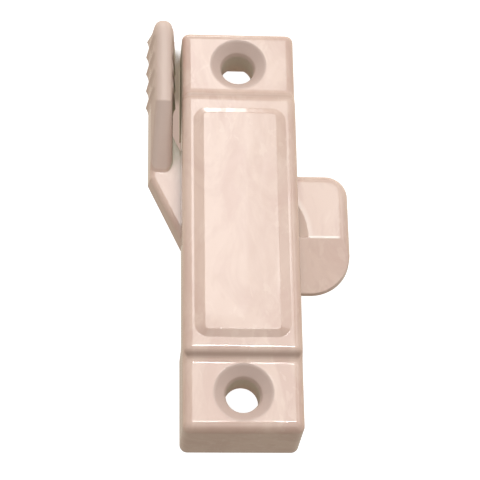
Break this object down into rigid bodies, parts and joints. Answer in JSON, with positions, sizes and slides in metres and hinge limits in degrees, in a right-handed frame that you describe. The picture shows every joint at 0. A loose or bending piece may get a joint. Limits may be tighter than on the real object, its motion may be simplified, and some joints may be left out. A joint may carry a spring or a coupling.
{
  "type": "window latch",
  "caption": "Surface-mounted window latch: painted housing with two countersunk screw tabs, and a one-piece thumb lever and hook that turns through a quarter turn.",
  "frame": {"origin": "on the plane of the mounting face, midway between the two screw holes", "axes": "+Z out of the mounting face, +Y along the housing towards the free end of the thumb lever, +X to the side that the hook comes out of"},
  "size_m": [0.0282, 0.0614, 0.0112],
  "materials": {
    "enamel": "glossy cream-pink enamel",
    "steel": "plain zinc-plated steel"
  },
  "bodies": {
    "housing": {"housing": "enamel", "rivet": "steel", "spring_washer": "steel"},
    "lever": {"lever": "enamel"}
  },
  "joints": [
    {"name": "lever_pivot", "type": "hinge", "parent": "housing", "child": "lever", "pos_m": [0, 0, 0.0033], "axis": [0, 0, 1], "range_deg": [0, 90]}
  ]
}
